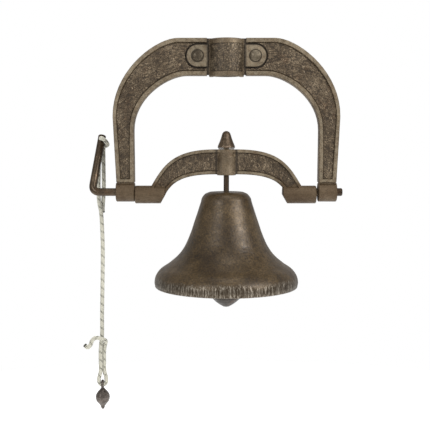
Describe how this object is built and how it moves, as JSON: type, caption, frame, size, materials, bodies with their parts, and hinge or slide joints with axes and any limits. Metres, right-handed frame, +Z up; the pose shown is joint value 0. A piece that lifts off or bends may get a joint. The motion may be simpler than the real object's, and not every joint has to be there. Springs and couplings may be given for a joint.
{
  "type": "wall mounted bell",
  "caption": "Cast iron bell on a swinging yoke in a pipe-clamped arch, with a cranked rod, pull rope and teardrop pull.",
  "frame": {"origin": "on the axis of the clamp's vertical pipe bore, 4.6 mm above its middle", "axes": "+Z up along the pipe bore, +X to the right as seen from the front, -Y towards the viewer"},
  "size_m": [0.3305, 0.1796, 0.4751],
  "materials": {
    "arch_iron": "rough",
    "yoke_iron": "rough",
    "bell_iron": "satin",
    "rod_iron": "satin",
    "fastener_steel": "satin",
    "rope_fibre": "matte",
    "pull_iron": "satin"
  },
  "bodies": {
    "frame": {"arch_frame": "arch_iron", "rear_clamp": "arch_iron", "clamp_bolt_left": "fastener_steel", "clamp_bolt_right": "fastener_steel", "clamp_washer_left": "fastener_steel", "clamp_washer_right": "fastener_steel", "clamp_nut_left": "fastener_steel", "clamp_nut_right": "fastener_steel"},
    "bell_swing_body": {"yoke": "yoke_iron", "crank_rod": "rod_iron", "pivot_pin": "rod_iron", "crank_set_screw": "rod_iron", "pivot_set_screw": "rod_iron", "hanger_bolt": "rod_iron", "finial_nut": "rod_iron", "finial_washer": "fastener_steel", "bell": "bell_iron", "crown_washer": "fastener_steel", "crown_nut": "fastener_steel", "rope_eye": "rope_fibre"},
    "clapper": {"clapper_shank": "rod_iron", "clapper_ball": "rod_iron"},
    "rope_body": {"rope": "rope_fibre", "rope_return": "rope_fibre"},
    "pull_body": {"pull": "pull_iron"}
  },
  "joints": [
    {"name": "bell_swing", "type": "hinge", "parent": "frame", "child": "bell_swing_body", "pos_m": [0, 0, -0.1695], "axis": [-1, 0, 0], "range_deg": [-20, 60]},
    {"name": "rope_hang", "type": "hinge", "parent": "bell_swing_body", "child": "rope_body", "pos_m": [-0.161, 0.0316, -0.119], "axis": [-1, 0, 0], "range_deg": [-60, 20]},
    {"name": "clapper_swing", "type": "hinge", "parent": "bell_swing_body", "child": "clapper", "pos_m": [0, 0, -0.1978], "axis": [-1, 0, 0], "range_deg": [-33.5, 33.5]},
    {"name": "pull_swing", "type": "hinge", "parent": "rope_body", "child": "pull_body", "pos_m": [-0.161, 0.0316, -0.4228], "axis": [-1, 0, 0], "range_deg": [-40, 40]}
  ],
  "couplings": [
    {"joint": "rope_hang", "follows": "bell_swing", "ratio": -1}
  ]
}
